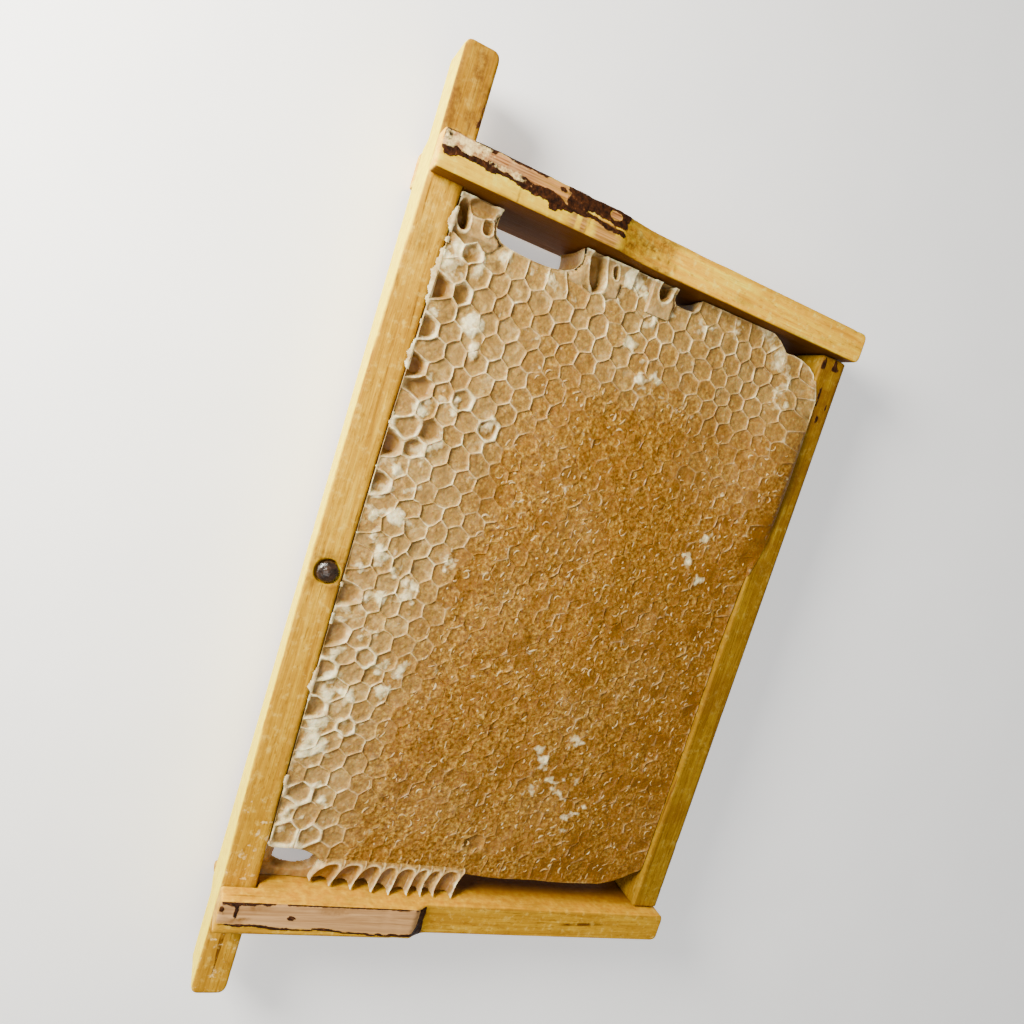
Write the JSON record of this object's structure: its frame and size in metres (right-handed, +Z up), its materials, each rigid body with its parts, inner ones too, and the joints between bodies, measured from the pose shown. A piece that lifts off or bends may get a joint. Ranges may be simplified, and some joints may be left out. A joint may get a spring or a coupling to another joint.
{
  "type": "honeycomb frame",
  "caption": "Small wooden hive frame lying on its back, its opening filled with natural honeycomb of hexagonal cells, with a lug at each end of the top bar.",
  "frame": {"origin": "middle of the footprint, on the plane that the side bars' backs rest on", "axes": "+X along the top bar, +Y from the bottom bar to the top bar, +Z up out of the comb's open face"},
  "size_m": [0.2574, 0.1434, 0.0302],
  "materials": {
    "pine": "bare sawn softwood, honey stained",
    "dark_knot": "hard resinous knot, glossy",
    "honeycomb": null
  },
  "bodies": {
    "root": {"top_bar": "pine", "side_bar_right": "pine", "side_bar_left": "pine", "bottom_bar": "pine", "knot": "dark_knot", "comb": "honeycomb"}
  },
  "joints": []
}
